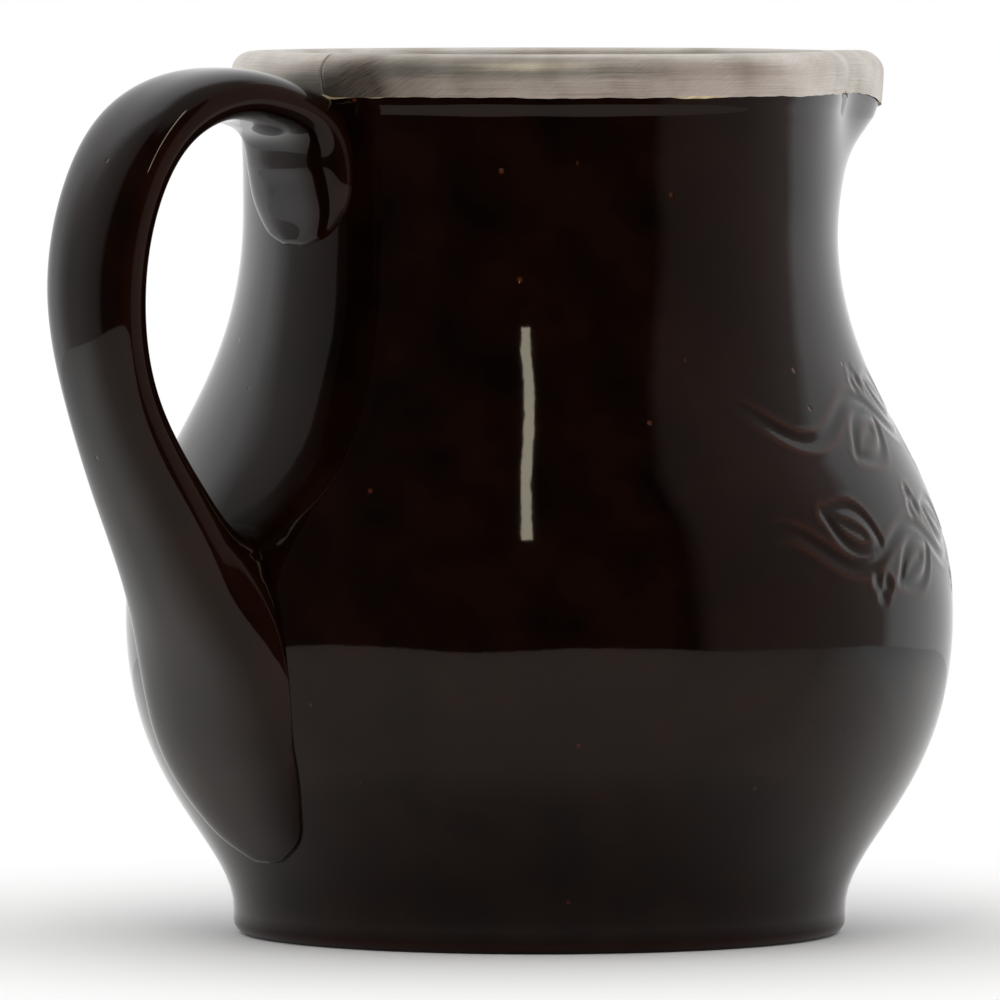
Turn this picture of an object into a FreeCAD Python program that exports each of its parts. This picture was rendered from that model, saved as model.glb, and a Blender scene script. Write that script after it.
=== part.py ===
import FreeCAD, Part
import math
import os

# A glazed stoneware jug: a thrown body with a drawn pouring lip, a pulled strap handle and a
# collar of sheet silver bedded on the rim. Millimetres. +Z is up, the origin is the middle of
# the foot on the table, the lip points along +X and the handle along -X.

Vector = FreeCAD.Vector

# Body: the outside of the wall, each height counted from the one below it
foot_radius = 52.1
foot_band_height = 4.0
foot_edge_round = 2.4
belly_radius = 70.4
belly_rise = 50.2
neck_radius = 50.4
neck_rise = 69.0
rim_radius = 50.9
rim_rise = 15.2
rim_upright = 10.3
belly_height = foot_band_height + belly_rise
neck_height = belly_height + neck_rise
rim_height = neck_height + rim_rise
body_height = rim_height + rim_upright

# Body: how far the wall keeps its heading past the foot, belly, neck and rim, as shares of the rise
foot_ease_share = 0.24
belly_ease_below_share = 0.6
belly_ease_above_share = 0.41
neck_ease_below_share = 0.49
neck_ease_above_share = 0.4
rim_ease_share = 0.33

# Body: the wall, the floor and the hollow under the foot
wall_thickness = 5.0
floor_thickness = 7.0
floor_round = 10.0
rim_round = 2.2
cut_overrun = 0.3
foot_ring_width = 7.0
foot_hollow_depth = 1.5

# Lip: a bell-shaped swelling of the rim that widens and dies out down the neck
lip_reach = 18.0
lip_half_angle = 19.0
lip_spread_angle = 12.4
lip_root_drop = 31.0
lip_flare_power = 3.0

# Handle: the middle line of the strap where it stands free. Places out from the rim, heights
# down from the rim's top, from the crest and up from the belly.
crest_out = 16.5
crest_drop = 5.5
loop_out = 40.1
loop_drop = 34.2
landing_lift = 3.0
landing_rise = 8.1
crest_height = body_height - crest_drop
loop_height = crest_height - loop_drop
landing_height = belly_height + landing_rise

# Handle: how far the middle line keeps its heading past those places
bend_ease = 8.5
crest_ease_inside = 8.0
crest_ease_outside = 14.4
loop_ease_above = 19.0
loop_ease_below = 17.5
landing_ease_out = 7.1
landing_ease_up = 14.4

# Handle: thickness and width of the strap at those places
crest_thickness = 9.0
crest_width = 26.0
loop_thickness = 9.9
loop_width = 23.2
landing_thickness = 13.0
landing_width = 31.5
strap_squareness = 2.5

# Handle: the tongue turned down on the neck and the tail pressed flat on the belly
tongue_wide_drop = 17.7
tongue_tip_drop = 31.4
tongue_width = 27.5
tongue_proud = 4.0
tail_wide_drop = 9.2
tail_tip_rise = 10.0
tail_width = 39.5
tail_proud = 2.3
tip_proud = 1.2
tip_round_power = 2.5

# Silver collar, its solder seam and its bed
bedding_thickness = 0.6
collar_sheet = 0.7
collar_height = 7.2
collar_lip_drop = 3.2
collar_dip_angle = 13.0
collar_handle_gap = 0.2
handle_cut_angle = 40.0
seam_width = 0.35
seam_angle = 189.5

# Shares along a stretch of wall, strap or tail where a ring is drawn, and shares of the strap's
# change in size that are reached at its rings
wall_shares = (0.2, 0.4, 0.6, 0.8, 1.0)
strap_shares = (0.34, 0.67, 1.0)
swell_shares = ((0.75, 0.96, 1.0), (0.34, 0.67, 1.0), (-0.1, 0.4, 1.0))
tip_shares = (0.0, 0.26, 0.52, 0.75, 0.9, 0.98)
upright_shares = (0.25, 0.5, 0.75)
round_shares = (0.0, 0.25, 0.5, 0.75, 1.0)

ring_points = 60
section_points = 32
halvings = 40
level_tolerance = 0.001


def bezier(start, start_ease, end_ease, end, share):
    """Point of the cubic curve whose two inner poles stand off its ends by the ease vectors."""
    rest = 1 - share
    return (
        start * rest**3
        + (start + start_ease) * 3 * rest**2 * share
        + (end + end_ease) * 3 * rest * share**2
        + end * share**3
    )


def wall_curves(start_height):
    """The wall's three curves, radius as x and height as z: foot to belly, to neck, to rim."""
    foot = Vector(foot_radius, 0, start_height)
    belly = Vector(belly_radius, 0, belly_height)
    neck = Vector(neck_radius, 0, neck_height)
    rim = Vector(rim_radius, 0, rim_height)
    first, second, third = Vector(0, 0, belly_rise), Vector(0, 0, neck_rise), Vector(0, 0, rim_rise)
    rim_turn = Vector(neck_radius - rim_radius, 0, -rim_rise * rim_ease_share)
    return (
        (foot, first * foot_ease_share, first * -belly_ease_below_share, belly),
        (belly, second * belly_ease_above_share, second * -neck_ease_below_share, neck),
        (neck, third * neck_ease_above_share, rim_turn, rim),
    )


def wall_radius(height):
    """Outside radius of the wall at a height, found by halving the share along its curve."""
    curves = wall_curves(foot_band_height)
    curve = next((c for c in curves if height <= c[3].z), curves[-1])
    low, high = 0.0, 1.0
    for _ in range(halvings):
        share = (low + high) / 2
        if bezier(*curve, share).z < height:
            low = share
        else:
            high = share
    return bezier(*curve, low).x


def lip_at(height):
    """How far the lip's tip stands out from the round wall at a height."""
    share = 1 - (rim_height - height) / lip_root_drop
    return lip_reach * min(max(share, 0), 1) ** lip_flare_power


def closed_curve(points):
    """Smooth closed wire along points, with poles that stand off where the points turn."""
    count = len(points)
    poles = []
    for i in range(count):
        turn = points[i - 1] + points[(i + 1) % count] - points[i] * 2
        poles.append(points[i] - turn * (1 / 6))
    knots = [float(i) for i in range(count + 1)]
    curve = Part.BSplineCurve()
    curve.buildFromPolesMultsKnots(poles, [1] * len(knots), knots, True, 3)
    return Part.Wire(curve.toShape())


def outline(radius, lip, angle):
    """Point of a level outline, a circle with the lip's bell curve on +X, and its outward direction."""
    width = math.radians(lip_half_angle + lip_spread_angle * (1 - lip / lip_reach))
    bell = lip * math.exp(-((angle / width) ** 2))
    reach = radius + bell
    slope = -2 * angle / width**2 * bell
    along = Vector(math.cos(angle), math.sin(angle), 0)
    across = Vector(math.sin(angle), -math.cos(angle), 0)
    outward = along * reach + across * slope
    outward.normalize()
    return along * reach, outward


def ring(radius, height, lip, offset):
    """Closed level outline at a height, moved out by the offset."""
    points = []
    for i in range(ring_points):
        point, outward = outline(radius, lip, math.pi * (2 * i / ring_points - 1))
        points.append(point + outward * offset + Vector(0, 0, height))
    return closed_curve(points)


def rim_rings(offset, turn, top):
    """Rings of the upright rim from its start to a top, where a quarter round turns the edge."""
    size = abs(turn)
    straight = top - size - rim_height
    rings = [ring(rim_radius, rim_height + straight * share, lip_reach, offset) for share in upright_shares]
    for share in round_shares:
        angle = math.pi / 2 * share
        moved = offset + turn * (1 - math.cos(angle))
        rings.append(ring(rim_radius, top - size + size * math.sin(angle), lip_reach, moved))
    return rings


def wall_rings(start_height, offset):
    """Rings of the wall's surface moved out by the offset, from its foot up to the rim."""
    places = [Vector(foot_radius, 0, start_height)]
    for curve in wall_curves(start_height):
        places += [bezier(*curve, share) for share in wall_shares]
    return [ring(p.x, p.z, lip_at(p.z), offset) for p in places]


def level_edge(solid, height):
    """The edges of a solid that lie level at a height."""
    boxes = [(edge, edge.BoundBox) for edge in solid.Edges]
    return [e for e, box in boxes if max(abs(box.ZMin - height), abs(box.ZMax - height)) < level_tolerance]


def make_outside():
    """The body's outside as one full solid, with a rounded rim and foot edge."""
    rings = [ring(foot_radius, 0, 0, 0)] + wall_rings(foot_band_height, 0)
    solid = Part.makeLoft(rings + rim_rings(0, -rim_round, body_height), True)
    return solid.makeFillet(foot_edge_round, level_edge(solid, 0))


def make_jug_body(outside):
    """The thrown body: the outside less the room inside and the turned hollow under the foot."""
    rings = wall_rings(floor_thickness, -wall_thickness)
    room = Part.makeLoft(rings + rim_rings(-wall_thickness, rim_round, body_height + cut_overrun), True)
    room = room.makeFillet(floor_round, level_edge(room, floor_thickness))
    hollow_radius = foot_radius - foot_edge_round - foot_ring_width
    hollow = Part.makeCone(hollow_radius, hollow_radius - foot_hollow_depth, foot_hollow_depth)
    return outside.cut(room).cut(hollow)


def strap_section(middle, heading, thickness, width):
    """Closed section of the strap, square to its heading: an ellipse with fuller corners."""
    heading.normalize()
    outward = Vector(0, 1, 0).cross(heading)
    power = 2 / strap_squareness
    points = []
    for i in range(section_points):
        angle = 2 * math.pi * i / section_points
        c, s = math.cos(angle), math.sin(angle)
        up = math.copysign(abs(c) ** power, c) * thickness / 2
        side = math.copysign(abs(s) ** power, s) * width / 2
        points.append(middle + outward * up + Vector(0, side, 0))
    return closed_curve(points)


def pressed_sections(wide_height, tip_height, wide, full_proud):
    """Sections of an end pressed on the wall: edges sunk to the wall, narrowing to a round tip."""
    sections = []
    for share in tip_shares:
        height = wide_height + (tip_height - wide_height) * share
        radius = wall_radius(height)
        width = wide * math.sqrt(1 - share**tip_round_power)
        proud = full_proud + (tip_proud - full_proud) * share
        sunk = math.sqrt(radius**2 - (width / 2) ** 2)
        sections.append((Vector(-sunk, 0, height), 2 * (radius + proud - sunk), width))
    return sections


def free_sections(tongue):
    """Sections of the strap where it stands free, from the tongue over the crest to the belly."""
    start, tongue_thickness, _ = tongue
    crest = Vector(-rim_radius - crest_out, 0, crest_height)
    loop = Vector(-rim_radius - loop_out, 0, loop_height)
    landing = Vector(-wall_radius(landing_height) - landing_lift, 0, landing_height)
    stretches = (
        (start, Vector(0, 0, bend_ease), Vector(crest_ease_inside, 0, 0), crest),
        (crest, Vector(-crest_ease_outside, 0, 0), Vector(0, 0, loop_ease_above), loop),
        (loop, Vector(0, 0, -loop_ease_below), Vector(-landing_ease_out, 0, landing_ease_up), landing),
    )
    sizes = (
        (tongue_thickness, tongue_width),
        (crest_thickness, crest_width),
        (loop_thickness, loop_width),
        (landing_thickness, landing_width),
    )
    sections = []
    for stretch, before, after, swells in zip(stretches, sizes, sizes[1:], swell_shares):
        for share, swell in zip(strap_shares, swells):
            thickness, width = (a + (b - a) * swell for a, b in zip(before, after))
            sections.append((bezier(*stretch, share), thickness, width))
    return sections


def make_strap():
    """The whole strap as one loft, each section square to the line through its neighbours."""
    tongue_heights = body_height - tongue_wide_drop, body_height - tongue_tip_drop
    tail_heights = belly_height - tail_wide_drop, foot_band_height + tail_tip_rise
    tongue = pressed_sections(*tongue_heights, tongue_width, tongue_proud)
    tail = pressed_sections(*tail_heights, tail_width, tail_proud)
    sections = tongue[::-1] + free_sections(tongue[0]) + tail
    middles = [section[0] for section in sections]
    before = middles[:1] + middles[:-1]
    after = middles[1:] + middles[-1:]
    wires = [
        strap_section(middle, ahead - behind, thickness, width)
        for (middle, thickness, width), behind, ahead in zip(sections, before, after)
    ]
    return Part.makeLoft(wires, True)


def make_handle(outside):
    """The pulled strap, cut where it seats on the body and kept clear of the collar."""
    strap = make_strap()
    spread = bedding_thickness + collar_sheet + collar_handle_gap
    half = math.radians(handle_cut_angle)
    section = lambda angle: block_section(spread, collar_handle_gap, angle)
    collar_room = along_rim(section, math.pi - half, math.pi + half)
    return strap.cut(outside).cut(collar_room)


def collar_low(angle):
    """Height of the collar's lower edge, which dips towards the lip's tip."""
    dip = math.exp(-((angle / math.radians(collar_dip_angle)) ** 2))
    return body_height + bedding_thickness + collar_sheet - collar_height - collar_lip_drop * dip


def saddle_edges(spread, low, place):
    """Edges of the rounded saddle over the rim, from its outer skirt's foot to its inner skirt's."""
    turn = rim_round + spread
    top = body_height + spread
    lean = turn * (1 - math.sqrt(0.5))
    out, back = spread, -wall_thickness - spread
    shoulder, flat_start = place(out, top - turn), place(out - turn, top)
    flat_end, inner_shoulder = place(back + turn, top), place(back, top - turn)
    return [
        Part.makeLine(place(out, low), shoulder),
        Part.Arc(shoulder, place(out - lean, top - lean), flat_start).toShape(),
        Part.makeLine(flat_start, flat_end),
        Part.Arc(flat_end, place(back + lean, top - lean), inner_shoulder).toShape(),
        Part.makeLine(inner_shoulder, place(back, low)),
    ]


def rim_place(angle):
    """Function that puts a distance out from the rim's face and a height on the plane at an angle."""
    point, outward = outline(rim_radius, lip_reach, angle)
    return lambda out, height: point + outward * out + Vector(0, 0, height)


def block_section(spread, drop, angle):
    """Section of the full block under a saddle of that spread, its foot dropped below the collar's."""
    low, place = collar_low(angle) - drop, rim_place(angle)
    foot = Part.makeLine(place(-wall_thickness - spread, low), place(spread, low))
    return Part.Wire(saddle_edges(spread, low, place) + [foot])


def sheet_section(angle):
    """Section of the collar: the sheet between the bed's saddle and the collar's own."""
    low, place = collar_low(angle), rim_place(angle)
    inner, outer = bedding_thickness, bedding_thickness + collar_sheet
    back = -wall_thickness
    inner_edges = saddle_edges(inner, low, place)[::-1]
    inner_foot = Part.makeLine(place(back - outer, low), place(back - inner, low))
    outer_foot = Part.makeLine(place(inner, low), place(outer, low))
    edges = saddle_edges(outer, low, place) + [inner_foot] + inner_edges + [outer_foot]
    return Part.Wire(Part.__sortEdges__(edges))


def along_rim(section, start, end):
    """Solid lofted through sections at even steps of the angle along the rim."""
    steps = max(2, math.ceil((end - start) / (2 * math.pi) * ring_points))
    angles = [start + (end - start) * i / steps for i in range(steps + 1)]
    turned = [math.remainder(angle, 2 * math.pi) for angle in angles]
    return Part.makeLoft([section(angle) for angle in turned], True)


def make_rim_bedding(body):
    """The plaster bed: a rounded block over the rim, in two halves joined, less the body."""
    section = lambda angle: block_section(bedding_thickness, 0, angle)
    lip_half = along_rim(section, -math.pi / 2, math.pi / 2)
    handle_half = along_rim(section, math.pi / 2, 3 * math.pi / 2)
    return lip_half.fuse(handle_half).cut(body)


def make_rim_collar(seam, half_seam):
    """The silver strip, carried round the rim from one side of the seam to the other."""
    return along_rim(sheet_section, seam + half_seam, seam + 2 * math.pi - half_seam)


def make_collar_seam(seam, half_seam):
    """The solder that fills the gap between the strip's two ends."""
    return along_rim(sheet_section, seam - half_seam, seam + half_seam)


parts = {}
outside = make_outside()
seam = math.radians(seam_angle)
half_seam = seam_width / rim_radius / 2
parts["jug_body"] = make_jug_body(outside)
parts["rim_bedding"] = make_rim_bedding(parts["jug_body"])
parts["rim_collar"] = make_rim_collar(seam, half_seam)
parts["collar_seam"] = make_collar_seam(seam, half_seam)
parts["handle"] = make_handle(outside)

os.makedirs("parts", exist_ok=True)
for name, shape in parts.items():
    shape.exportStep(f"parts/{name}.step")
    print(name, shape.isValid(), len(shape.Solids), len(shape.Faces), round(shape.Volume, 1))
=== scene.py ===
import math

import bpy
import numpy as np
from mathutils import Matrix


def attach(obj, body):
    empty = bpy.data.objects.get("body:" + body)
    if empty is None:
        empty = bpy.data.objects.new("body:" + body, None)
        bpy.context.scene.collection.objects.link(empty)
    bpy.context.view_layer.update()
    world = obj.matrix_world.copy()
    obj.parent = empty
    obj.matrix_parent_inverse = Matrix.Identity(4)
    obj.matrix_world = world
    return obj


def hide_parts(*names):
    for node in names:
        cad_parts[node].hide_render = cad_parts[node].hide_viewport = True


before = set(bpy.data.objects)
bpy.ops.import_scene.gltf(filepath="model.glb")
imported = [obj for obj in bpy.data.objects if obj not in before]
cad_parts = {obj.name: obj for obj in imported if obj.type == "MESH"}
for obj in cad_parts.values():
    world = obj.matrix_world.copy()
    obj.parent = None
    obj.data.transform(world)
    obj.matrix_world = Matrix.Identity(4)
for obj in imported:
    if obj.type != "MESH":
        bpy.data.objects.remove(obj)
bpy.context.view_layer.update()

# Body: one piece of stoneware, thrown on a wheel, its lip pulled out of the soft rim by hand.
# It is glazed treacle brown inside and out, and the foot ring it was fired on is bare clay.
# A running vine was cut into the soft clay round the lip side before the glaze went on.
foot_radius, belly_radius, neck_radius, rim_radius = 0.0521, 0.0704, 0.0504, 0.0509
foot_band, belly_height, neck_height, rim_height = 0.004, 0.0542, 0.1232, 0.1384
body_height = 0.1487
foot_ease_share, rim_ease_share = 0.24, 0.33
belly_ease_shares, neck_ease_shares, curve_count = (0.6, 0.41), (0.49, 0.4), 80
wall_thickness, floor_thickness, floor_round = 0.005, 0.007, 0.010
rim_round, foot_round, foot_ring, foot_hollow = 0.0022, 0.0024, 0.007, 0.0015
lip_reach, lip_root_drop, lip_ease = 0.018, 0.031, 0.001
lip_half_angle, lip_spread_angle = math.radians(19), math.radians(12.4)
collar_flare, flare_start, flare_height, flare_fade = 0.00055, 0.1389, 0.0036, 0.004
flare_level, flare_waves = 0.88, ((3, 0.05, 1.0), (7, 0.04, 0.4), (16, 0.03, 2.0))


def bezier(start, start_pole, end_pole, end, share):
    """Cubic curve: four points weighted by the shares (1-s)^3, 3(1-s)^2 s, 3(1-s) s^2 and s^3."""
    s = np.asarray(share)[:, None]
    weights = ((1 - s) ** 3, 3 * (1 - s) ** 2 * s, 3 * (1 - s) * s**2, s**3)
    return sum(w * np.asarray(p) for w, p in zip(weights, (start, start_pole, end_pole, end)))


def wall_line(start_height):
    """Radius and height of the wall's outside: three cubic curves, upright at foot, belly and neck."""
    share = np.linspace(0, 1, curve_count)
    rise = belly_height - foot_band, neck_height - belly_height, rim_height - neck_height
    foot, belly = (foot_radius, start_height), (belly_radius, belly_height)
    neck, rim = (neck_radius, neck_height), (rim_radius, rim_height)
    curves = (
        bezier(foot, (foot_radius, start_height + foot_ease_share * rise[0]),
               (belly_radius, belly_height - belly_ease_shares[0] * rise[0]), belly, share),
        bezier(belly, (belly_radius, belly_height + belly_ease_shares[1] * rise[1]),
               (neck_radius, neck_height - neck_ease_shares[0] * rise[1]), neck, share),
        bezier(neck, (neck_radius, neck_height + neck_ease_shares[1] * rise[2]),
               (neck_radius, rim_height - rim_ease_share * rise[2]), rim, share),
    )
    return np.concatenate([curves[0], curves[1][1:], curves[2][1:]])


def wall_radius(height, start_height=foot_band):
    """Outside radius at a height, read off the wall's line."""
    line = wall_line(start_height)
    return np.interp(height, line[:, 1], line[:, 0])


def lip_at(height):
    """Reach of the lip's tip: the full reach times the cube of the share climbed from its root.

    The drop left to climb is a soft ramp, ease * ln(1 + e^(drop / ease)), so the lip ends upright.
    """
    left = lip_ease * np.logaddexp(0, (rim_height - height) / lip_ease)
    return lip_reach * np.clip(1 - left / lip_root_drop, 0, 1) ** 3


def outline(radius, lip, angle, offset):
    """Level outline: circle plus a bell curve of the angle, moved out along its own normal."""
    width = lip_half_angle + lip_spread_angle * (1 - lip / lip_reach)
    bell = lip * np.exp(-((angle / width) ** 2))
    reach, slope = radius + bell, -2 * angle / width**2 * bell
    cosine, sine = np.cos(angle), np.sin(angle)
    out_x, out_y = cosine * reach + sine * slope, sine * reach - cosine * slope
    length = np.hypot(out_x, out_y)
    return cosine * reach + out_x / length * offset, sine * reach + out_y / length * offset


vine_heights, vine_wave, vine_pitch = (0.0885, 0.0675), 0.0034, 0.036
vine_half_angle, vine_fade, vine_margin = math.radians(92), math.radians(7), 0.003
groove_half, groove_depth = 0.0009, 0.00028
burr_height, burr_place, burr_width = 0.00008, 1.9, 0.6
leaf_half_length, leaf_half_width, leaf_lean, leaf_drop = 0.0074, 0.0034, (0.92, 0.39), 0.0030
rib_half, rib_depth, rib_shift, rib_share = 0.0007, 0.00015, 0.2, 0.5
berry_radius, berry_places = 0.0004, ((0.0040, 0.0056), (0.0066, 0.0062), (0.0052, 0.0082))
uncut = 1.0
fine_low, fine_high, fine_half_angle = 0.057, 0.098, math.radians(100)


def leaf_groove(x, y):
    """Distances to an almond's edge |y| = b (1 - (x/a)^2) and to the short midrib on its long axis."""
    bow = leaf_half_width * (1 - np.clip(x / leaf_half_length, -1, 1) ** 2)
    beyond = np.maximum(np.abs(x) - leaf_half_length, 0)
    edge = np.hypot(np.abs(y) - bow, beyond)
    past_rib = np.abs(x + rib_shift * leaf_half_length) - rib_share * leaf_half_length
    return edge, np.hypot(y, np.maximum(past_rib, 0))


def vine_distance(angle, height):
    """Distances to the nearest cut and midrib: a sine stem with a leaf and three berries on each crest."""
    cuts = np.full(np.broadcast(angle, height).shape, uncut)
    ribs = cuts.copy()
    for row, middle in enumerate(vine_heights):
        wall, shift = wall_radius(np.array(middle)), row * vine_pitch / 4
        along = angle * wall + shift
        phase = 2 * math.pi * along / vine_pitch
        slope = vine_wave * 2 * math.pi / vine_pitch * np.cos(phase)
        stem = np.abs(height - middle - vine_wave * np.sin(phase)) / np.hypot(1, slope)
        half = vine_pitch / 2
        count = np.floor(along / half)
        side = 1 - 2 * np.mod(count, 2)
        x = along - (count + 0.5) * half
        y = (height - middle) * side
        (cosine, sine), out = leaf_lean, y + leaf_drop
        edge, rib = leaf_groove(x * cosine + out * sine, out * cosine - x * sine)
        berries = [np.hypot(x - berry_x, y - berry_y) for berry_x, berry_y in berry_places]
        sprig = np.minimum.reduce([edge] + [np.maximum(berry - berry_radius, 0) for berry in berries])
        whole = np.abs((count + 0.5) * half - shift) + half / 2 < (vine_half_angle - vine_fade) * wall
        cuts = np.minimum.reduce([cuts, stem, np.where(whole, sprig, uncut)])
        ribs = np.minimum(ribs, np.where(whole, rib, uncut))
    return cuts, ribs


def vine_depth(angle, height):
    """Rise of the wall at the vine: minus a bell-shaped groove, plus a low bell-shaped burr beside it.

    The burr's place and width are counted in half widths of the groove.
    """
    cuts, ribs = vine_distance(angle, height)
    distance = cuts / groove_half
    cut = -np.maximum(groove_depth * np.exp(-(distance**2)), rib_depth * np.exp(-((ribs / rib_half) ** 2)))
    cut = cut + burr_height * np.exp(-((distance - burr_place) / burr_width) ** 2)
    band = np.clip((vine_half_angle - np.abs(angle)) / vine_fade, 0, 1)
    above, below = (height - fine_low) / vine_margin, (fine_high - height) / vine_margin
    zone = np.clip(above, 0, 1) * np.clip(below, 0, 1)
    return cut * band * zone


def skin(name, points, ring=False):
    """Closed mesh of a grid: quads round the columns and along the rows, its two ends capped or joined."""
    rows, columns = points.shape[:2]
    index = np.arange(rows * columns).reshape(rows, columns)
    below = index if ring else index[:-1]
    above = np.roll(index, -1, axis=0) if ring else index[1:]
    quads = np.stack([below, np.roll(below, -1, axis=1), np.roll(above, -1, axis=1), above], axis=-1)
    quads = quads.reshape(-1, 4)
    flat = points.reshape(-1, 3)
    a, b, c, d = (flat[quads[:, k]] for k in range(4))
    inside_out = np.einsum("ij,ij->i", a, np.cross(b, c) + np.cross(c, d)).sum() < 0
    faces = (quads[:, ::-1] if inside_out else quads).tolist()
    if not ring:
        ends = [index[0][::-1], index[-1]]
        faces += [(end[::-1] if inside_out else end).tolist() for end in ends]
    mesh = bpy.data.meshes.new(name)
    mesh.from_pydata(flat.tolist(), [], faces)
    mesh.polygons.foreach_set("use_smooth", np.arange(len(faces)) < len(quads))
    piece = bpy.data.objects.new(name, mesh)
    bpy.context.collection.objects.link(piece)
    return piece


def paint(piece, name, values):
    """Stores one number for each point of a piece's grid, for its material to read."""
    layer = piece.data.attributes.new(name, "FLOAT", "POINT")
    layer.data.foreach_set("value", np.ascontiguousarray(values, dtype=np.float32).ravel())


def rounded(count):
    """Sine and one-minus-cosine of angles over a quarter turn."""
    angle = np.linspace(0, math.pi / 2, count)
    return np.sin(angle), 1 - np.cos(angle)


def ripple(angle, waves):
    """Sum of sines round the rim, each given by its count, height and phase."""
    return sum(height * np.sin(count * angle + phase) for count, height, phase in waves)


fine_step, wall_step = 0.0006, 0.002
pole_radius, disc_radius, ring_inset = 0.0004, 0.02, 0.0004
round_rows, rim_rows, inside_rows, back_count = 7, 14, 34, 82


def body_rows():
    """Radius, height, lip and offset of each level ring, from the foot's middle to the floor's."""
    hollow, shoulder = foot_radius - foot_round - foot_ring, body_height - rim_round
    lift, turn = rounded(round_rows)
    foot = np.array(((pole_radius, foot_hollow), (disc_radius, foot_hollow),
                     (hollow - foot_hollow, foot_hollow), (hollow, 0),
                     (hollow + ring_inset, 0), (foot_radius - foot_round - ring_inset, 0)))
    edge = np.c_[foot_radius - foot_round * (1 - lift), foot_round * turn]
    heights = np.concatenate([
        np.arange(foot_band, fine_low, wall_step), np.arange(fine_low, fine_high, fine_step),
        np.arange(fine_high, rim_height, wall_step), np.linspace(rim_height, shoulder, rim_rows)])
    outside = np.c_[wall_radius(heights), heights, lip_at(heights), 0 * heights]
    outer_round = np.c_[0 * lift + rim_radius, shoulder + rim_round * lift, 0 * lift + lip_reach,
                        -rim_round * turn][1:]
    inner_round = outer_round[::-1].copy()
    inner_round[:, 3] = -wall_thickness - inner_round[:, 3]
    inside_heights = np.linspace(shoulder, floor_thickness + floor_round, inside_rows)
    inside = np.c_[wall_radius(inside_heights, floor_thickness), inside_heights,
                   lip_at(inside_heights), 0 * inside_heights - wall_thickness]
    corner = inside[-1, 0] - wall_thickness
    floor = np.c_[corner - floor_round * turn, floor_thickness + floor_round * (1 - lift)][1:]
    floor = np.concatenate([floor, [(disc_radius, floor_thickness), (pole_radius, floor_thickness)]])
    low, floor = (np.c_[part, np.zeros((len(part), 2))] for part in (np.concatenate([foot, edge]), floor))
    return np.concatenate([low, outside, outer_round, inner_round, inside, floor])


def node_maker(tree):
    """Function that adds a node to a tree, with its settings, and with values or sockets on its inputs."""
    def add(kind, inputs=None, **settings):
        node = tree.nodes.new(kind)
        for key, value in settings.items():
            setattr(node, key, value)
        for key, value in (inputs or {}).items():
            if isinstance(value, bpy.types.NodeSocket):
                tree.links.new(value, node.inputs[key])
            else:
                node.inputs[key].default_value = value
        return node
    return add


def ramp(add, factor, stops):
    """Colour that runs through the stops, each a place from 0 to 1 and a colour."""
    node = add("ShaderNodeValToRGB", {"Fac": factor})
    elements = node.color_ramp.elements
    elements[0].position, elements[0].color = stops[0][0], (*stops[0][1], 1)
    elements[1].position, elements[1].color = stops[-1][0], (*stops[-1][1], 1)
    for place, colour in stops[1:-1]:
        elements.new(place).color = (*colour, 1)
    return node.outputs["Color"]


def blend(add, factor, first, second):
    """Colour part way from the first to the second."""
    node = add("ShaderNodeMix", {0: factor, 6: first, 7: second}, data_type="RGBA")
    return node.outputs[2]


thick_brown, thin_brown = (0.0018, 0.0005, 0.0003), (0.0058, 0.0016, 0.0006)
amber_brown, rust_speck = (0.042, 0.011, 0.004), (0.055, 0.013, 0.006)
dark_clay, light_clay = (0.16, 0.085, 0.045), (0.29, 0.17, 0.095)
glaze_gloss, glaze_rough, clay_rough = 0.34, 0.045, 0.85
swell_height, peel_height, pit_depth, speckless_share = 0.00045, 0.000006, 0.0001, 0.6


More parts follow.
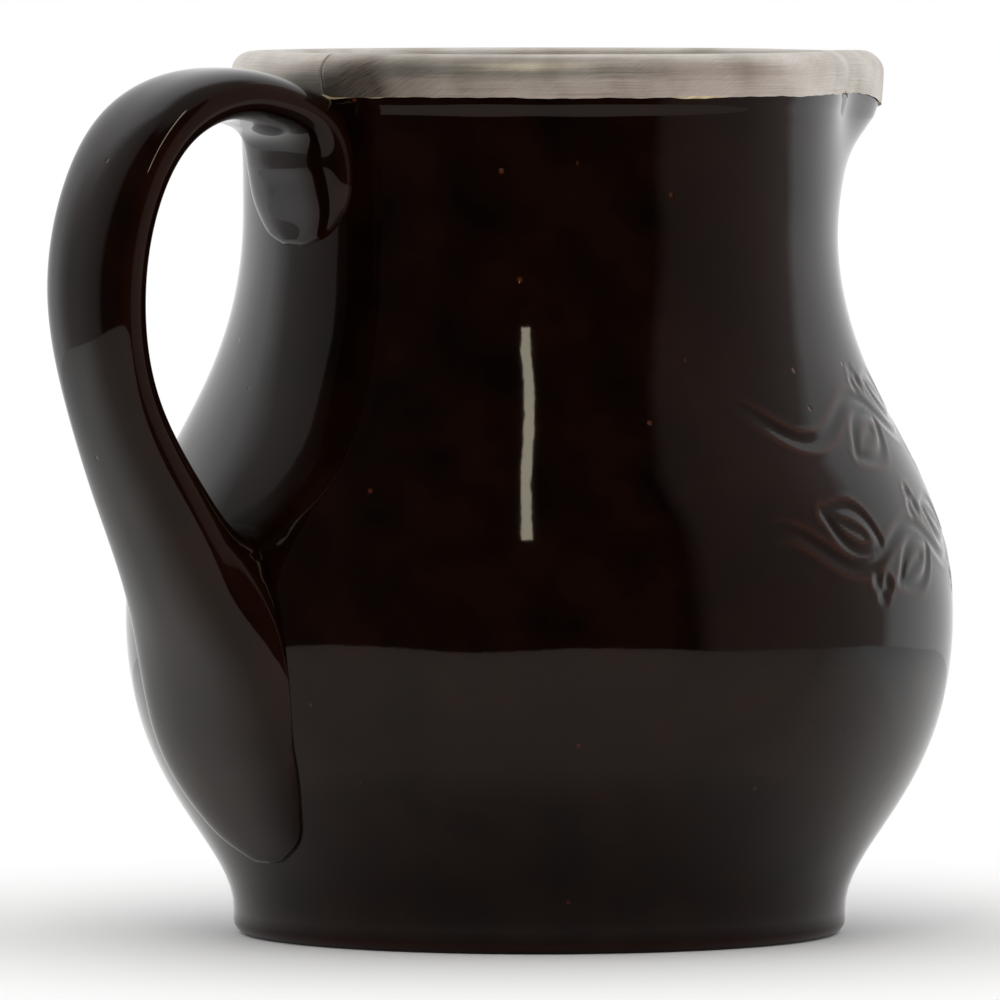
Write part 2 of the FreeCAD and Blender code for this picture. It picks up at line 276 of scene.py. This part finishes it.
def glaze(name):
    """Treacle glaze: near-black brown, amber where it runs thin, glossy, gently uneven, with a few pits."""
    material = bpy.data.materials.new(name)
    material.use_nodes = True
    add = node_maker(material.node_tree)
    place = add("ShaderNodeTexCoord").outputs["Object"]
    cloud = add("ShaderNodeTexNoise", {"Vector": place, "Scale": 85.0, "Detail": 5.0}).outputs["Fac"]
    brown = ramp(add, cloud, ((0.36, thick_brown), (0.66, thin_brown)))
    thin = add("ShaderNodeAttribute", attribute_name="thin").outputs["Fac"]
    amber = blend(add, thin, brown, (*amber_brown, 1))
    bare = add("ShaderNodeAttribute", attribute_name="bare").outputs["Fac"]
    grit = add("ShaderNodeTexNoise", {"Vector": place, "Scale": 900.0, "Detail": 4.0}).outputs["Fac"]
    clay = ramp(add, grit, ((0.3, dark_clay), (0.7, light_clay)))
    cells = add("ShaderNodeTexVoronoi", {"Vector": place, "Scale": 125.0, "Randomness": 1.0})
    spot = add("ShaderNodeMapRange", {"Value": cells.outputs["Distance"],
                                      "From Min": 0.03, "From Max": 0.075})
    chance = add("ShaderNodeSeparateColor", {"Color": cells.outputs["Color"]}).outputs["Red"]
    rare = add("ShaderNodeMath", {0: chance, 1: speckless_share}, operation="LESS_THAN").outputs["Value"]
    pit = add("ShaderNodeMath", {0: spot.outputs["Result"], 1: rare}, operation="MAXIMUM").outputs["Value"]
    speckled = blend(add, pit, (*rust_speck, 1), amber)
    colour = blend(add, bare, speckled, clay)
    swell = add("ShaderNodeTexNoise", {"Vector": place, "Scale": 38.0, "Detail": 1.0}).outputs["Fac"]
    peel = add("ShaderNodeTexNoise", {"Vector": place, "Scale": 420.0, "Detail": 1.0}).outputs["Fac"]
    waves = add("ShaderNodeBump", {"Height": swell, "Strength": 1.0, "Distance": swell_height})
    skin_bump = add("ShaderNodeBump", {"Height": peel, "Strength": 1.0, "Distance": peel_height,
                                       "Normal": waves.outputs["Normal"]})
    pits = add("ShaderNodeBump", {"Height": pit, "Strength": 0.6, "Distance": pit_depth,
                                  "Normal": skin_bump.outputs["Normal"]})
    rough = add("ShaderNodeMapRange", {"Value": bare, "To Min": glaze_rough, "To Max": clay_rough})
    shader = material.node_tree.nodes["Principled BSDF"]
    shader.inputs["Specular IOR Level"].default_value = glaze_gloss
    for socket, source in (("Base Color", colour), ("Roughness", rough.outputs["Result"]),
                           ("Normal", pits.outputs["Normal"])):
        material.node_tree.links.new(source, shader.inputs[socket])
    return material


burr_amber, foot_amber, foot_amber_height, foot_amber_half = 0.55, 0.25, 0.0012, 0.0007
bare_fade = 0.0006
rows = body_rows()
lip_columns = np.linspace(-fine_half_angle, fine_half_angle,
                          int(2 * fine_half_angle * belly_radius / fine_step))
back_columns = np.linspace(fine_half_angle, 2 * math.pi - fine_half_angle, back_count)[1:-1]
columns = np.concatenate([lip_columns, back_columns])
columns = np.where(columns > math.pi, columns - 2 * math.pi, columns)
radius, height, lip, offset = (rows[:, k, None] for k in range(4))
on_outside = (np.arange(len(rows)) < np.argmax(rows[:, 1]))[:, None]
carved = vine_depth(columns[None, :], height) * on_outside
climb = np.clip((height - flare_start) / flare_height, 0, 1)
flare = climb**2 * (3 - 2 * climb) * np.clip((body_height - height) / flare_fade, 0, 1)
uneven = flare_level + ripple(columns, flare_waves)
flare = collar_flare * flare * uneven[None, :] * on_outside
body_x, body_y = outline(radius, lip, columns[None, :], offset + carved + flare)
body = skin("stoneware_body", np.stack([body_x, body_y, np.broadcast_to(height, body_x.shape)], axis=-1))
foot_edge = np.exp(-((height - foot_amber_height) / foot_amber_half) ** 2) * on_outside
paint(body, "thin", np.clip(carved / burr_height, 0, 1) * burr_amber + foot_amber * foot_edge)
unglazed = np.clip((foot_radius - foot_round - radius) / bare_fade + 1, 0, 1) * (height < foot_round)
paint(body, "bare", np.broadcast_to(unglazed, body_x.shape))
body_glaze = glaze("treacle_glaze")
body.data.materials.append(body_glaze)
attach(body, "root")
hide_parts("jug_body")

# Handle: a strap pulled from a lump of the same clay, bent while soft and stuck on with slip. Its
# top end is a tongue turned down on the neck, its lower end a tail thumbed flat on the belly, and
# wet clay is smoothed into both joints. Glazed with the body.
crest = np.array((-0.0674, 0.1432))
loop = np.array((-0.0910, 0.1090))
landing_height, landing_lift = 0.0623, 0.003
bend_ease, crest_ease_inside, crest_ease_outside = 0.0085, 0.008, 0.0144
loop_ease_above, loop_ease_below, landing_ease = 0.019, 0.0175, (-0.0071, 0.0144)
strap_sizes = np.array(((0.0090, 0.0260), (0.0099, 0.0232), (0.0130, 0.0315)))
swell_shares = ((0.75, 0.96, 1.0), (0.34, 0.67, 1.0), (-0.1, 0.4, 1.0))
tongue = dict(wide_height=0.131, tip_height=0.1173, wide=0.0275, proud=0.004)
tail = dict(wide_height=0.045, tip_height=0.014, wide=0.0395, proud=0.0023)
tip_proud, seat_depth = 0.0012, 0.0015
joint_fillet, fillet_top, fillet_fade, facing_gain = 0.0055, 0.075, 0.010, 3
upper_fillet_share, sunk_share = 0.35, 0.4
joint_flare, joint_reach, joint_foot, joint_climb = 0.0030, 0.008, 0.034, 0.026
tip_shares, strap_shares = (0.0, 0.26, 0.52, 0.75, 0.9, 0.98), (0.34, 0.67, 1.0)
end_power, section_power, strap_rows, strap_columns = 2.5, 0.8, 260, 96
edge_amber, edge_power = 0.12, 14
collar_face, collar_foot = 0.0015, 0.1426


def through(knots, values, places):
    """Smooth line through values: a natural cubic spline, its bends found from one linear system."""
    step, count = np.diff(knots), len(knots)
    inner = np.arange(1, count - 1)
    system, right = np.eye(count), np.zeros_like(values)
    system[inner, inner - 1], system[inner, inner + 1] = step[:-1], step[1:]
    system[inner, inner] = 2 * (step[:-1] + step[1:])
    right[1:-1] = 6 * np.diff(np.diff(values, axis=0) / step[:, None], axis=0)
    bend = np.linalg.solve(system, right)
    k = np.clip(np.searchsorted(knots, places) - 1, 0, count - 2)
    gone, left, span = (part[:, None] for part in (places - knots[k], knots[k + 1] - places, step[k]))
    curve = (bend[k] * left**3 + bend[k + 1] * gone**3) / (6 * span)
    return curve + (values[k] / span - bend[k] * span / 6) * left \
        + (values[k + 1] / span - bend[k + 1] * span / 6) * gone


def pressed_end(wide_height, tip_height, wide, proud):
    """Middle, thickness and width of an end pressed on the wall, its width wide*sqrt(1 - share^power)."""
    share = np.array(tip_shares)
    height = wide_height + (tip_height - wide_height) * share
    wall, width = wall_radius(height), wide * np.sqrt(1 - share**end_power)
    sunk = np.sqrt(wall**2 - (width / 2) ** 2)
    return np.c_[-sunk, height, 2 * (wall + proud + (tip_proud - proud) * share - sunk), width]


def strap_rings():
    """Middle, thickness and width of the strap's rings: tongue, three cubic curves, tail."""
    tongue_rings, tail_rings = pressed_end(**tongue), pressed_end(**tail)
    start = tongue_rings[0]
    landing = np.array((-wall_radius(landing_height) - landing_lift, landing_height))
    stretches = (
        (start[:2], start[:2] + (0, bend_ease), crest + (crest_ease_inside, 0), crest),
        (crest, crest - (crest_ease_outside, 0), loop + (0, loop_ease_above), loop),
        (loop, loop - (0, loop_ease_below), landing + landing_ease, landing),
    )
    sizes = np.concatenate([start[None, 2:], strap_sizes])
    share = np.array(strap_shares)
    free = [np.c_[bezier(*stretch, share), before + (after - before) * np.array(swell)[:, None]]
            for stretch, before, after, swell in zip(stretches, sizes, sizes[1:], swell_shares)]
    return np.concatenate([tongue_rings[::-1]] + free + [tail_rings])


def strap_grid(rings, along, around):
    """Sections |cosine|^power by |sine|^power, set square to a smooth line through the rings."""
    knots = np.concatenate([[0], np.cumsum(np.hypot(*np.diff(rings[:, :2], axis=0).T))])
    line = through(knots, rings, np.linspace(0, knots[-1], along))
    heading = np.gradient(line[:, :2], axis=0)
    heading /= np.hypot(*heading.T)[:, None]
    angle = np.linspace(0, 2 * math.pi, around, endpoint=False)
    up = np.sign(np.cos(angle)) * np.abs(np.cos(angle)) ** section_power
    side = np.sign(np.sin(angle)) * np.abs(np.sin(angle)) ** section_power
    lift = line[:, 2, None] / 2 * up
    return np.stack([line[:, 0, None] + heading[:, 1, None] * lift, line[:, 3, None] / 2 * side,
                     line[:, 1, None] - heading[:, 0, None] * lift], axis=-1)


def grid_normals(points):
    """Outward direction at each point of a closed grid: cross product of its two slopes."""
    along = np.gradient(points, axis=0)
    around = np.roll(points, -1, axis=1) - np.roll(points, 1, axis=1)
    normal = np.cross(around, along)
    return normal / np.maximum(np.linalg.norm(normal, axis=-1, keepdims=True), 1e-12)


def seat(points):
    """Sinks the strap in the wall, draws its inner side to the wall and flares its sides at the joints.

    On the inner side a gap g to the wall becomes sqrt(g^2 - f^2), f being the fillet, and where g is
    less than f the strap sinks into the wall.
    """
    normal = grid_normals(points)
    around = np.hypot(points[..., 0], points[..., 1])
    radial = points[..., :2] / around[..., None]
    facing = (normal[..., :2] * radial).sum(axis=-1)
    gap = around - wall_radius(points[..., 2])
    low = np.clip((fillet_top - points[..., 2]) / fillet_fade, 0, 1)
    fillet = joint_fillet * (upper_fillet_share + (1 - upper_fillet_share) * low)
    fillet = fillet * np.clip(-facing * facing_gain, 0, 1)
    drawn = np.sqrt(np.maximum(gap**2 - fillet**2, 0))
    drawn = np.where(gap > fillet, drawn, sunk_share * (gap - fillet))
    drawn = np.where(gap > 0, drawn, gap - sunk_share * fillet)
    flare = joint_flare * np.clip(1 - gap / joint_reach, 0, 1) ** 2 * np.clip(1 - facing**2, 0, 1)
    flare = flare * low * np.clip((points[..., 2] - joint_foot) / joint_climb, 0, 1)
    moved = points.copy()
    moved[..., 1] += normal[..., 1] * flare
    target = wall_radius(points[..., 2]) + np.maximum(drawn, -seat_depth)
    under_collar = (points[..., 2] > collar_foot) & (target < rim_radius + collar_face)
    target = np.where(under_collar, rim_radius + collar_face, target)
    return np.concatenate([moved[..., :2] * (target / around)[..., None], moved[..., 2:]], axis=-1)


strap_points = seat(strap_grid(strap_rings(), strap_rows, strap_columns))
handle = skin("strap_handle", strap_points)
strap_edges = np.abs(np.sin(np.linspace(0, 2 * math.pi, strap_columns, endpoint=False))) ** edge_power
paint(handle, "thin", edge_amber * strap_edges[None, :] + 0 * strap_points[..., 0])
handle.data.materials.append(body_glaze)
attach(handle, "root")
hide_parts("handle")

# Bed: a thin coat of plaster between the fired rim and the silver, put on wet so that the silver
# settles in it. Only an uneven yellowish line of it shows under the collar's lower edge.
bed_spread, collar_sheet, collar_drop = 0.0006, 0.0007, 0.0072
lip_dip, lip_dip_angle = 0.0032, math.radians(13)
collar_top = body_height + bed_spread + collar_sheet
nose_dip, nose_angle = 0.0005, math.radians(13)
ooze_depth, ooze_hidden, ooze_places = 0.0004, 0.00015, ((-166, 11), (-96, 7), (62, 12))
ooze_waves = ((23, 0.00009, 0.4), (41, 0.00009, 2.1), (67, 0.00007, 4.0))
bed_overlap, core_spread, bed_count = 0.00002, -0.0002, 480
skirt_rows, arc_rows, skirt_crowding = 8, 11, 1.7
dark_plaster, light_plaster, plaster_rough = (0.26, 0.18, 0.09), (0.62, 0.52, 0.32), 0.8


def collar_low(angle):
    """Height of the collar's lower edge: level, less a bell curve towards the lip's tip."""
    return collar_top - collar_drop - lip_dip * np.exp(-((angle / lip_dip_angle) ** 2))


def saddle(spread, low):
    """Distance out and height of a rounded saddle over the rim, from its outer foot to its inner foot."""
    turn, top = rim_round + spread, body_height + spread
    lift, lean = rounded(arc_rows)
    climb = np.linspace(0, 1, skirt_rows)[:, None] ** skirt_crowding
    upright = low + (top - turn - low) * climb
    arc = top - turn + turn * lift[1:, None] + 0 * low
    out = np.concatenate([np.full(skirt_rows, spread), spread - turn * lean[1:]])
    heights = np.concatenate([upright, arc])
    return np.concatenate([out, -wall_thickness - out[::-1]]), np.concatenate([heights, heights[::-1]])


def round_rim(angle, out, heights):
    """Grid of a section carried round the rim: rows at the angles, columns along the section."""
    x, y = outline(rim_radius, lip_reach, angle[:, None], out)
    return np.stack([x, y, np.broadcast_to(heights, x.shape)], axis=-1)


def nose_share(angle, heights):
    """Share of the rounding at the lip's tip: a bell curve of the angle times the cube of the climb."""
    climb = np.clip((heights - collar_low(0)) / (collar_top - collar_low(0)), 0, 1) ** 3
    return np.exp(-((angle / nose_angle) ** 2))[:, None] * climb


bed_angles = np.linspace(-math.pi, math.pi, bed_count, endpoint=False)
ooze = sum(np.exp(-((np.degrees(bed_angles) - middle) / half) ** 2) for middle, half in ooze_places)
ooze = ooze * (ooze_depth + ripple(bed_angles, ooze_waves))
bed_low = collar_low(bed_angles) + ooze_hidden - ooze
bed_out, bed_heights = saddle(bed_spread + bed_overlap, bed_low[None, :])
core_out, core_heights = saddle(core_spread, bed_low[None, :])
bed_loop_out = np.concatenate([bed_out, core_out[::-1]])
bed_loop_heights = np.concatenate([bed_heights, core_heights[::-1]]).T
bed_loop_heights = bed_loop_heights - nose_dip * nose_share(bed_angles, bed_loop_heights)
bed = skin("plaster_bed", round_rim(bed_angles, bed_loop_out, bed_loop_heights), ring=True)
plaster = bpy.data.materials.new("yellowed_plaster")
plaster.use_nodes = True
add = node_maker(plaster.node_tree)
place = add("ShaderNodeTexCoord").outputs["Object"]
mottle = add("ShaderNodeTexNoise", {"Vector": place, "Scale": 260.0, "Detail": 4.0}).outputs["Fac"]
plaster_shader = plaster.node_tree.nodes["Principled BSDF"]
plaster_shader.inputs["Roughness"].default_value = plaster_rough
plaster_colour = ramp(add, mottle, ((0.35, dark_plaster), (0.65, light_plaster)))
plaster.node_tree.links.new(plaster_colour, plaster_shader.inputs["Base Color"])
bed.data.materials.append(plaster)
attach(bed, "root")
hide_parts("rim_bedding")

# Collar: a strip of sheet silver formed over the rim, with an outer and an inner skirt. Long use
# has left it slightly wavy, finely scratched along and across, and dull where it tarnished. Beside
# the handle its skirts carry painted shade, darker towards their lower edge.
seam_width, collar_count = 0.00035, 720
seam_angle, seam_half = math.radians(189.5), seam_width / rim_radius / 2
nose_round, skirt_tuck = 0.0011, 0.0006
edge_waves = ((7, 0.00008, 0.3), (19, 0.00006, 1.7), (37, 0.00004, 5.0), (83, 0.00003, 2.2))
face_waves = ((5, 0.00005, 1.1), (13, 0.00006, 0.2), (29, 0.00003, 3.3))
stain_angle, stain_half, stain_share = math.radians(206), math.radians(17), 0.55
stain_waves = ((11, 0.3, 1.2), (31, 0.2, 0.4))
# Place and spread of the painted shade on the skirts beside the handle.
handle_shade_angle, handle_shade_half = math.radians(195), math.radians(9)
bright_silver, dull_silver, silver_rough = (0.72, 0.68, 0.63), (0.42, 0.375, 0.32), 0.42
# Brown that the silver turns where it tarnished, also used for the painted shade beside the handle.
dark_stain_and_shade, light_stain_and_shade = (0.08, 0.064, 0.052), (0.30, 0.26, 0.21)
long_scratch, cross_scratch, cross_slant = (0.02, 0.0002, 1), (0.0045, 0.00017, 1), 0.5
scratch_depth, scratch_share, scuff_share = 0.000025, 0.45, 0.26
rough_drop, rough_rise, silver_metal = 0.07, 0.09, 0.84


def sheet_grid(angle, proud):
    """Section of the sheet carried round the rim: its outer saddle, then its inner one back."""
    wrapped = np.mod(angle + math.pi, 2 * math.pi) - math.pi
    low = (collar_low(wrapped) + ripple(wrapped, edge_waves))[None, :]
    outer_out, outer_heights = saddle(bed_spread + collar_sheet, low)
    inner_out, inner_heights = saddle(bed_spread, low)
    out = np.concatenate([outer_out, inner_out[::-1]])[None, :] + 0 * angle[:, None]
    heights = np.concatenate([outer_heights, inner_heights[::-1]]).T
    nose = nose_share(wrapped, heights)
    outer_side = np.clip((out + wall_thickness / 2) / (wall_thickness / 2), 0, 1)
    out = out - nose_round * nose * outer_side
    lower = np.clip((body_height - rim_round - heights) / (body_height - rim_round - low.T), 0, 1)
    out = out - skirt_tuck * lower * (out > bed_spread + collar_sheet / 2)
    out = out + (ripple(wrapped, face_waves)[:, None] + proud) * np.clip(outer_side * 2 - 1, 0, 1)
    return round_rim(wrapped, out, heights - nose_dip * nose)


def sheet_silver(name, light, dark, dull):
    """Worn silver: cloudily tarnished, fine scratches drawn along the strip and steeper ones across it.

    A stored share turns it brown where it tarnished and where shade is painted beside the handle.
    """
    material = bpy.data.materials.new(name)
    material.use_nodes = True
    add = node_maker(material.node_tree)
    strip = add("ShaderNodeAttribute", attribute_name="strip").outputs["Vector"]
    place = add("ShaderNodeTexCoord").outputs["Object"]
    lengthwise = add("ShaderNodeMapping", {"Vector": strip, "Scale": long_scratch}, vector_type="TEXTURE")
    slanting = add("ShaderNodeMapping", {"Vector": strip, "Rotation": (0, 0, cross_slant),
                                         "Scale": cross_scratch}, vector_type="TEXTURE")
    fine = add("ShaderNodeTexNoise", {"Vector": lengthwise.outputs["Vector"], "Scale": 1.0, "Detail": 3.0})
    cross = add("ShaderNodeTexNoise", {"Vector": slanting.outputs["Vector"], "Scale": 1.0, "Detail": 3.0})
    cloud = add("ShaderNodeTexNoise", {"Vector": place, "Scale": 80.0, "Detail": 4.0, "Roughness": 0.55})
    fine, cross, cloud = (noise.outputs["Fac"] for noise in (fine, cross, cloud))
    streaked = add("ShaderNodeMix", {0: scratch_share, 2: cloud, 3: fine}, data_type="FLOAT").outputs[0]
    clouded = ramp(add, streaked, ((0.34, dark), (0.54, light)))
    # Brown for the tarnished patch and for the painted shade beside the handle, and the share of it.
    stain_and_shade_tone = ramp(add, cross, ((0.30, dark_stain_and_shade), (0.66, light_stain_and_shade)))
    tarnish_and_shade = add("ShaderNodeAttribute", attribute_name="tarnish_and_shade").outputs["Fac"]
    scuff = add("ShaderNodeMapRange", {"Value": cross, "From Min": 0.36, "From Max": 0.56,
                                       "To Min": scuff_share, "To Max": 0.0}).outputs["Result"]
    colour = blend(add, tarnish_and_shade, blend(add, scuff, clouded, (*dark, 1)), stain_and_shade_tone)
    rough = add("ShaderNodeMapRange", {"Value": fine, "From Min": 0.3, "From Max": 0.7,
                                       "To Min": dull - rough_drop, "To Max": dull + rough_rise})
    drawn = add("ShaderNodeBump", {"Height": fine, "Strength": 0.6, "Distance": scratch_depth})
    crossed = add("ShaderNodeBump", {"Height": cross, "Strength": 0.6, "Distance": scratch_depth,
                                     "Normal": drawn.outputs["Normal"]})
    shader = material.node_tree.nodes["Principled BSDF"]
    shader.inputs["Metallic"].default_value = silver_metal
    for socket, source in (("Base Color", colour), ("Roughness", rough.outputs["Result"]),
                           ("Normal", crossed.outputs["Normal"])):
        material.node_tree.links.new(source, shader.inputs[socket])
    return material


def strip_places(piece, points):
    """Stores each point's distance along the strip and across it, for the scratches to follow."""
    along = np.linalg.norm(np.diff(points[:, 0], axis=0), axis=-1)
    along = np.concatenate([[0], np.cumsum(along)])[:, None] + 0 * points[..., 0]
    across = np.linalg.norm(np.diff(points, axis=1), axis=-1)
    across = np.concatenate([np.zeros((len(points), 1)), np.cumsum(across, axis=1)], axis=1)
    layer = piece.data.attributes.new("strip", "FLOAT_VECTOR", "POINT")
    places = np.stack([along, across, 0 * along], axis=-1)
    layer.data.foreach_set("vector", places.astype(np.float32).ravel())


collar_angles = np.linspace(seam_angle + seam_half, seam_angle + 2 * math.pi - seam_half, collar_count)
collar_points = sheet_grid(collar_angles, 0)
collar = skin("silver_collar", collar_points)
strip_places(collar, collar_points)
stain = ripple(collar_angles, stain_waves) + 1
stain = stain * np.exp(-((collar_angles - stain_angle) / stain_half) ** 2) * stain_share
# Painted shade on the skirts beside the handle, darker towards their lower edge.
handle_shade = np.exp(-((collar_angles - handle_shade_angle) / handle_shade_half) ** 2)[:, None]
handle_shade = handle_shade * np.clip((collar_top - collar_points[..., 2]) / collar_drop, 0, 1)
paint(collar, "tarnish_and_shade", np.clip(stain[:, None] + handle_shade, 0, 1))
collar.data.materials.append(sheet_silver("worn_silver", bright_silver, dull_silver, silver_rough))
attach(collar, "root")
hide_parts("rim_collar")

# Seam: the line of silver solder that closes the strip's two ends near the handle, filed almost
# flush and a little duller than the sheet.
seam_count, seam_proud = 9, -0.00003
light_solder, dark_solder, solder_rough = (0.36, 0.33, 0.29), (0.22, 0.20, 0.17), 0.48
seam_angles = np.linspace(seam_angle - seam_half, seam_angle + seam_half, seam_count)
seam_points = sheet_grid(seam_angles, seam_proud)
seam = skin("solder_seam", seam_points)
strip_places(seam, seam_points)
seam.data.materials.append(sheet_silver("dull_solder", light_solder, dark_solder, solder_rough))
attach(seam, "root")
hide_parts("collar_seam")

# Table: a round of pale board under the jug, white towards its rim so that it runs into the backdrop.
# In the jug's gloss the board has painted shade: dark brown near the foot, dimmer in front, white behind.
camera_side, camera_right = (-0.588, -0.809, 0), (0.809, -0.588, 0)
table_radius, table_thickness, table_count = 0.52, 0.004, 128
top_rings, under_rings = (0.0005, 0.04, 0.08, 0.12, 0.2, table_radius), (table_radius, 0.04, 0.0005)
white_from, white_to, behind_from, behind_to = 0.08, 0.20, 0.08, -0.05
# Painted shade seen only in the gloss: the board is dark brown at the foot and dimmer further out.
gloss_shade_from, gloss_shade_to = 0.055, 0.095
gloss_shade_near, gloss_shade_far = (0.16, 0.125, 0.115), (0.62, 0.52, 0.475)
board_white, board_rough, board_gloss = (0.93, 0.93, 0.93, 1), 0.7, 0.1
turns = np.linspace(0, 2 * math.pi, table_count, endpoint=False)
reach = np.array(top_rings + under_rings)[:, None]
depth = np.repeat((0, -table_thickness), (len(top_rings), len(under_rings)))[:, None]
table_points = np.stack([reach * np.cos(turns), reach * np.sin(turns), depth + 0 * turns], axis=-1)
table = skin("pale_table", table_points)
board = bpy.data.materials.new("pale_board")
board.use_nodes = True
add = node_maker(board.node_tree)
place = add("ShaderNodeTexCoord").outputs["Object"]
distance = add("ShaderNodeVectorMath", {0: place}, operation="LENGTH").outputs["Value"]
fade = add("ShaderNodeMapRange", {"Value": distance, "From Min": white_from, "From Max": white_to},
           interpolation_type="SMOOTHSTEP").outputs["Result"]
board_path = add("ShaderNodeLightPath").outputs
whitened = add("ShaderNodeMath", {0: fade, 1: board_path["Is Camera Ray"]}, operation="MULTIPLY")
white = add("ShaderNodeEmission", {"Color": (1, 1, 1, 1), "Strength": 1.0}).outputs["Emission"]
# Painted shade for glossy rays: dark near the foot, dimmer in front of the jug, board white behind it.
near = add("ShaderNodeMapRange", {"Value": distance, "From Min": gloss_shade_from, "From Max": gloss_shade_to})
gloss_shade = ramp(add, near.outputs["Result"], ((0.0, gloss_shade_near), (1.0, gloss_shade_far)))
front = add("ShaderNodeVectorMath", {0: place, 1: camera_side}, operation="DOT_PRODUCT").outputs["Value"]
behind = add("ShaderNodeMapRange", {"Value": front, "From Min": behind_from, "From Max": behind_to})
gloss_shade = blend(add, behind.outputs["Result"], gloss_shade, board_white)
board_colour = blend(add, board_path["Is Glossy Ray"], board_white, gloss_shade)
board_shader = board.node_tree.nodes["Principled BSDF"]
board.node_tree.links.new(board_colour, board_shader.inputs["Base Color"])
board_shader.inputs["Roughness"].default_value = board_rough
board_shader.inputs["Specular IOR Level"].default_value = board_gloss
board_mix = add("ShaderNodeMixShader", {0: whitened.outputs["Value"], 1: board_shader.outputs["BSDF"],
                                        2: white})
board_output = board.node_tree.nodes["Material Output"]
board.node_tree.links.new(board_mix.outputs["Shader"], board_output.inputs["Surface"])
table.data.materials.append(board)

# Studio: a white room whose camera side is dark above the table, with a brownish screen on each side
# of the dark and grey overhead. All of that shows only in the gloss: the light on the piece is even
# and white. A screen's edge is its bearing from the camera in degrees, its grey level and its brownness.
screens = ((-180, 1.0, 0), (-125, 1.0, 0), (-112, 0.45, 1), (-84, 0.30, 1), (-77, 0.04, 1), (-20, 0.015, 1),
           (44, 0.015, 1), (50, 0.28, 3), (90, 0.40, 3), (110, 0.50, 2.5), (116, 1.0, 0), (180, 1.0, 0))
green_loss_share, blue_loss_share = 0.12, 0.16
overhead_from, overhead_to, overhead_grey = 0.80, 0.93, (0.32, 0.30, 0.28, 1)


def screen_colour(level, brown):
    """Grey of a level, its green and blue lowered by shares of the brownness times (1 - level)."""
    loss = brown * (1 - level)
    return level, level * (1 - green_loss_share * loss), level * (1 - blue_loss_share * loss)


studio = bpy.data.worlds.new("studio")
studio.use_nodes = True
bpy.context.scene.world = studio
add = node_maker(studio.node_tree)
way = add("ShaderNodeTexCoord").outputs["Generated"]
ahead = add("ShaderNodeVectorMath", {0: way, 1: camera_side}, operation="DOT_PRODUCT").outputs["Value"]
right = add("ShaderNodeVectorMath", {0: way, 1: camera_right}, operation="DOT_PRODUCT").outputs["Value"]
turn = add("ShaderNodeMath", {0: right, 1: ahead}, operation="ARCTAN2").outputs["Value"]
share = add("ShaderNodeMapRange", {"Value": turn, "From Min": -math.pi, "From Max": math.pi})
edges = [((degrees + 180) / 360, screen_colour(level, brown)) for degrees, level, brown in screens]
room = ramp(add, share.outputs["Result"], edges)
climb = add("ShaderNodeSeparateXYZ", {"Vector": way}).outputs["Z"]
overhead = add("ShaderNodeMapRange", {"Value": climb, "From Min": overhead_from, "From Max": overhead_to},
               interpolation_type="SMOOTHSTEP").outputs["Result"]
room = blend(add, overhead, room, overhead_grey)
light_path = add("ShaderNodeLightPath").outputs
room = blend(add, light_path["Is Glossy Ray"], (1, 1, 1, 1), room)
studio.node_tree.links.new(room, studio.node_tree.nodes["Background"].inputs["Color"])

# Lamp: a slim upright strip light on the camera's side, above the jug. It draws the one narrow
# line of light down the dark front of the belly.
lamp_distance, lamp_climb, lamp_turn = 1.1, math.radians(49), math.radians(-4.4)
lamp_sizes, lamp_watts, lamp_colour = (0.054, 0.74), 1.0, (1.0, 0.92, 0.70)
level_way = np.array(camera_side) * math.cos(lamp_turn) + np.array(camera_right) * math.sin(lamp_turn)
lamp_way = level_way * math.cos(lamp_climb) + np.array((0, 0, math.sin(lamp_climb)))
strip_light = bpy.data.lights.new("strip_light", "AREA")
strip_light.shape, strip_light.energy, strip_light.color = "RECTANGLE", lamp_watts, lamp_colour
strip_light.size, strip_light.size_y = lamp_sizes
lamp = bpy.data.objects.new("strip_light", strip_light)
bpy.context.collection.objects.link(lamp)
lamp.location = lamp_way * lamp_distance + np.array((0, 0, belly_height))
lamp.rotation_euler = (math.pi / 2 - lamp_climb, 0, math.atan2(lamp_way[1], lamp_way[0]) + math.pi / 2)

# Camera: across the table from the jug's side and a little above it. Its lens is long, so that the
# jug's outline comes out almost as it would in a drawing.
camera_place, camera_aim = np.array((-1.373, -1.890, 0.179)), np.array((-0.00543, 0.00394, 0.0736))
lens_length, sensor_width, sight_end = 494.7, 36, 20
lens = bpy.data.cameras.new("camera")
lens.lens, lens.sensor_width, lens.clip_end = lens_length, sensor_width, sight_end
camera = bpy.data.objects.new("camera", lens)
bpy.context.collection.objects.link(camera)
view = camera_aim - camera_place
camera.location = camera_place
camera.rotation_euler = (math.acos(-view[2] / np.linalg.norm(view)), 0, math.atan2(-view[0], view[1]))
bpy.context.scene.camera = camera
bpy.context.scene.view_settings.view_transform = "Standard"
